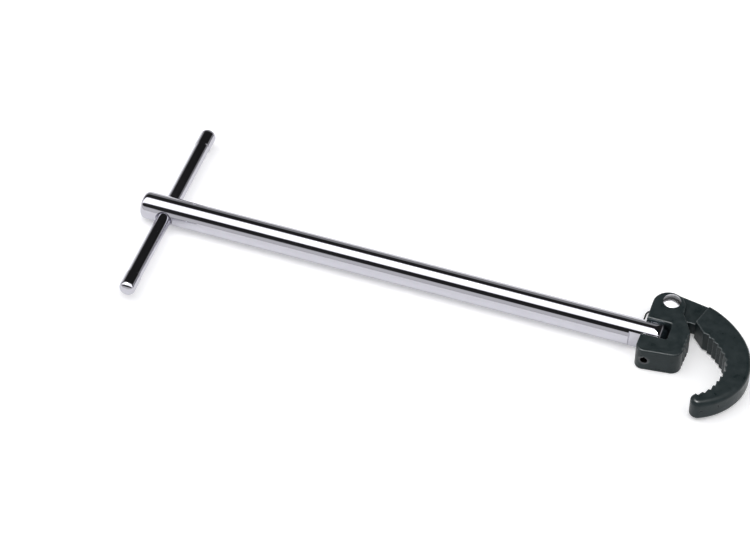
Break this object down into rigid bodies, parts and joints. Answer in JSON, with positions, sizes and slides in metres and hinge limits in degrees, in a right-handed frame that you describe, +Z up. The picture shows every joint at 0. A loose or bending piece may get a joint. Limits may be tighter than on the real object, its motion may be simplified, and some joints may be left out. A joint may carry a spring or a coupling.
{
  "type": "basin wrench",
  "caption": "Long-reach basin wrench: chromed bar with a sliding tommy bar and a swivelling black head whose sprung, toothed hook jaw grips nuts.",
  "frame": {"origin": "centre of the overall box, on the surface that the shaft lies on", "axes": "+X along the shaft from the handle to the head, +Y towards the side that the jaw rivet is on, +Z up"},
  "size_m": [0.2846, 0.103, 0.0141],
  "materials": {
    "chromed_bar": "polished chrome plate",
    "black_forging": "satin black oxide on forged steel",
    "bright_rivet": "bright plated rivet head",
    "pin_steel": "oiled spring steel",
    "spring_wire": "dark drawn spring wire"
  },
  "bodies": {
    "shaft": {"shaft": "chromed_bar"},
    "tommy": {"tommy_bar": "chromed_bar"},
    "head": {"head_block": "black_forging", "roll_pin": "pin_steel", "jaw_rivet": "bright_rivet", "jaw_spring": "spring_wire"},
    "jaw": {"hook_jaw": "black_forging"}
  },
  "joints": [
    {"name": "tommy_slide", "type": "slide", "parent": "shaft", "child": "tommy", "axis": [0, 1, 0], "range_m": [-0.0345, 0.0345]},
    {"name": "head_swing", "type": "hinge", "parent": "shaft", "child": "head", "pos_m": [0.0967, 0, 0.00635], "axis": [0, 1, 0], "range_deg": [-90, 90]},
    {"name": "jaw_swing", "type": "hinge", "parent": "head", "child": "jaw", "pos_m": [0.1006, 0.017, 0.00635], "axis": [0, 0, 1], "range_deg": [0, 45], "stiffness_Nm_per_rad": 0.06, "springref_deg": -34.38, "deforming": ["jaw_spring"]}
  ]
}
